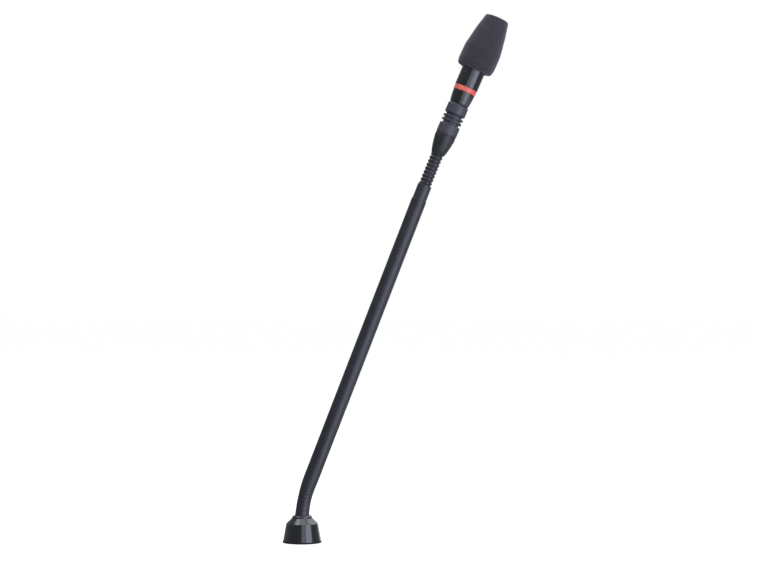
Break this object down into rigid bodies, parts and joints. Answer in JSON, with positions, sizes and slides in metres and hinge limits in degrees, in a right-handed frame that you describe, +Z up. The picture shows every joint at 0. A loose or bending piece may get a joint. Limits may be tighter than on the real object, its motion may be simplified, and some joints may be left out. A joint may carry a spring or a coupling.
{
  "type": "gooseneck desktop microphone",
  "caption": "Plug-in gooseneck microphone: foam-capped head with a light ring on a shock mount, short bare gooseneck, straight tube, covered flexible foot and a bell-shaped locking ring.",
  "frame": {"origin": "centre of the locking thread's mouth, on the plane of the gasket that seats on the socket", "axes": "+Z up along the plug's axis, +X the way the neck leans, in whose plane the whole neck lies at rest"},
  "size_m": [0.2018, 0.0352, 0.4755],
  "materials": {
    "gloss_black": "gloss",
    "gasket_black": "matte",
    "core_metal": "satin",
    "nylon": "matte",
    "plug_steel": "satin",
    "black_plastic": "matte",
    "contact_gold": "polished",
    "fitting_steel": "satin",
    "coil_black": "satin",
    "sleeve_black": "satin",
    "insert_black": "satin",
    "tube_black": "satin",
    "cone_black": "satin",
    "damper_grey": "matte",
    "head_gloss": "gloss",
    "light_red": "satin",
    "board_green": "satin",
    "chip_black": "matte",
    "lamp_white": "gloss",
    "bush_brass": "satin",
    "grille_black": "satin",
    "capsule_metal": "satin",
    "foam_charcoal": "matte",
    "cable_grey": "matte"
  },
  "bodies": {
    "base": {"anchor_core": "core_metal", "thrust_washer": "nylon", "plug_shell": "plug_steel", "plug_insert": "black_plastic", "contact_pins": "contact_gold", "neck_collar": "gloss_black", "base_ferrule": "fitting_steel"},
    "lock_ring": {"lock_ring": "gloss_black", "base_gasket": "gasket_black"},
    "foot_1": {"flex_link_01": "fitting_steel"},
    "foot_2": {"flex_link_02": "fitting_steel"},
    "foot_3": {"flex_link_03": "fitting_steel"},
    "foot_4": {"flex_link_04": "fitting_steel", "flex_sleeve": "sleeve_black"},
    "foot_5": {"flex_link_05": "fitting_steel"},
    "foot_6": {"flex_link_06": "fitting_steel"},
    "foot_7": {"flex_link_07": "fitting_steel"},
    "foot_8": {"flex_link_08": "fitting_steel"},
    "stem": {"stem_lower_ferrule": "fitting_steel", "stem_tube": "tube_black", "stem_sleeve": "sleeve_black", "stem_upper_ferrule": "tube_black", "signal_cable": "cable_grey"},
    "neck_1": {"neck_link_01": "coil_black"},
    "neck_2": {"neck_link_02": "coil_black"},
    "neck_3": {"neck_link_03": "coil_black"},
    "neck_4": {"neck_link_04": "coil_black"},
    "neck_5": {"neck_link_05": "coil_black"},
    "neck_6": {"neck_link_06": "coil_black"},
    "neck_7": {"neck_link_07": "coil_black"},
    "neck_8": {"neck_link_08": "coil_black"},
    "adapter": {"adapter_ferrule": "fitting_steel", "cone_adapter": "cone_black", "damper_lower_insert": "insert_black"},
    "damper": {"damper_rubber": "damper_grey"},
    "head": {"damper_upper_insert": "insert_black", "lower_housing": "head_gloss", "led_strip": "board_green", "leds": "lamp_white", "light_ring": "light_red", "head_bushing": "bush_brass", "head_tube": "head_gloss", "head_board": "board_green", "board_parts": "chip_black", "capsule_grille": "grille_black", "capsule_boot": "black_plastic", "capsule": "capsule_metal"},
    "windscreen": {"windscreen": "foam_charcoal"}
  },
  "joints": [
    {"name": "lock_spin", "type": "hinge", "parent": "base", "child": "lock_ring", "pos_m": [0, 0, 0], "axis": [0, 0, 1], "continuous": true},
    {"name": "foot_lean_1", "type": "hinge", "parent": "base", "child": "foot_1", "pos_m": [0, 0, 0.0246], "axis": [0.0007, 1, -0.0001], "range_deg": [-12, 4], "deforming": ["flex_sleeve", "signal_cable"]},
    {"name": "foot_roll_2", "type": "hinge", "parent": "foot_1", "child": "foot_2", "pos_m": [0.00033, 0, 0.0281], "axis": [0.9917, 0, -0.1284], "range_deg": [-10, 10]},
    {"name": "foot_lean_3", "type": "hinge", "parent": "foot_2", "child": "foot_3", "pos_m": [0.00078, 0, 0.03159], "axis": [0.0007, 1, -0.0001], "range_deg": [-12, 4]},
    {"name": "foot_roll_4", "type": "hinge", "parent": "foot_3", "child": "foot_4", "pos_m": [0.00136, 0, 0.03507], "axis": [0.9805, 0, -0.1964], "range_deg": [-10, 10]},
    {"name": "foot_lean_5", "type": "hinge", "parent": "foot_4", "child": "foot_5", "pos_m": [0.00205, 0, 0.03852], "axis": [0.0007, 1, -0.0002], "range_deg": [-12, 4]},
    {"name": "foot_roll_6", "type": "hinge", "parent": "foot_5", "child": "foot_6", "pos_m": [0.00286, 0, 0.04195], "axis": [0.9647, 0, -0.2635], "range_deg": [-10, 10]},
    {"name": "foot_lean_7", "type": "hinge", "parent": "foot_6", "child": "foot_7", "pos_m": [0.00378, 0, 0.04534], "axis": [0.0007, 1, -0.0002], "range_deg": [-12, 4]},
    {"name": "foot_roll_8", "type": "hinge", "parent": "foot_7", "child": "foot_8", "pos_m": [0.00483, 0, 0.0487], "axis": [0.9442, 0, -0.3293], "range_deg": [-10, 10]},
    {"name": "foot_lean_9", "type": "hinge", "parent": "foot_8", "child": "stem", "pos_m": [0.00599, 0, 0.05203], "axis": [0.0007, 1, -0.0003], "range_deg": [-12, 4]},
    {"name": "neck_lean_1", "type": "hinge", "parent": "stem", "child": "neck_1", "pos_m": [0.11078, 0, 0.32221], "axis": [0.0006, 1, -0.0003], "range_deg": [-8, 8]},
    {"name": "neck_roll_2", "type": "hinge", "parent": "neck_1", "child": "neck_2", "pos_m": [0.11207, 0, 0.32549], "axis": [0.9293, 0, -0.3692], "range_deg": [-10, 10]},
    {"name": "neck_lean_3", "type": "hinge", "parent": "neck_2", "child": "neck_3", "pos_m": [0.11337, 0, 0.32876], "axis": [0.0006, 1, -0.0003], "range_deg": [-8, 8]},
    {"name": "neck_roll_4", "type": "hinge", "parent": "neck_3", "child": "neck_4", "pos_m": [0.11468, 0, 0.33203], "axis": [0.9263, 0, -0.3768], "range_deg": [-10, 10]},
    {"name": "neck_lean_5", "type": "hinge", "parent": "neck_4", "child": "neck_5", "pos_m": [0.11601, 0, 0.33529], "axis": [0.0006, 1, -0.0003], "range_deg": [-8, 8]},
    {"name": "neck_roll_6", "type": "hinge", "parent": "neck_5", "child": "neck_6", "pos_m": [0.11735, 0, 0.33854], "axis": [0.9232, 0, -0.3843], "range_deg": [-10, 10]},
    {"name": "neck_lean_7", "type": "hinge", "parent": "neck_6", "child": "neck_7", "pos_m": [0.1187, 0, 0.34179], "axis": [0.0006, 1, -0.0003], "range_deg": [-8, 8]},
    {"name": "neck_roll_8", "type": "hinge", "parent": "neck_7", "child": "neck_8", "pos_m": [0.12007, 0, 0.34504], "axis": [0.92, 0, -0.3918], "range_deg": [-10, 10]},
    {"name": "neck_lean_9", "type": "hinge", "parent": "neck_8", "child": "adapter", "pos_m": [0.12145, 0, 0.34828], "axis": [0.0006, 1, -0.0003], "range_deg": [-8, 8]},
    {"name": "damper_lean", "type": "hinge", "parent": "adapter", "child": "damper", "pos_m": [0.13512, 0, 0.38003], "axis": [0.0006, 1, -0.0003], "range_deg": [-5, 5], "stiffness_Nm_per_rad": 1.5, "deforming": ["damper_rubber"]},
    {"name": "damper_roll", "type": "hinge", "parent": "damper", "child": "head", "pos_m": [0.13512, 0, 0.38003], "axis": [0.9184, 0, -0.3955], "range_deg": [-5, 5], "stiffness_Nm_per_rad": 1.5},
    {"name": "windscreen_pull", "type": "slide", "parent": "head", "child": "windscreen", "axis": [0.3955, 0, 0.9184], "range_m": [0, 0.055]}
  ]
}
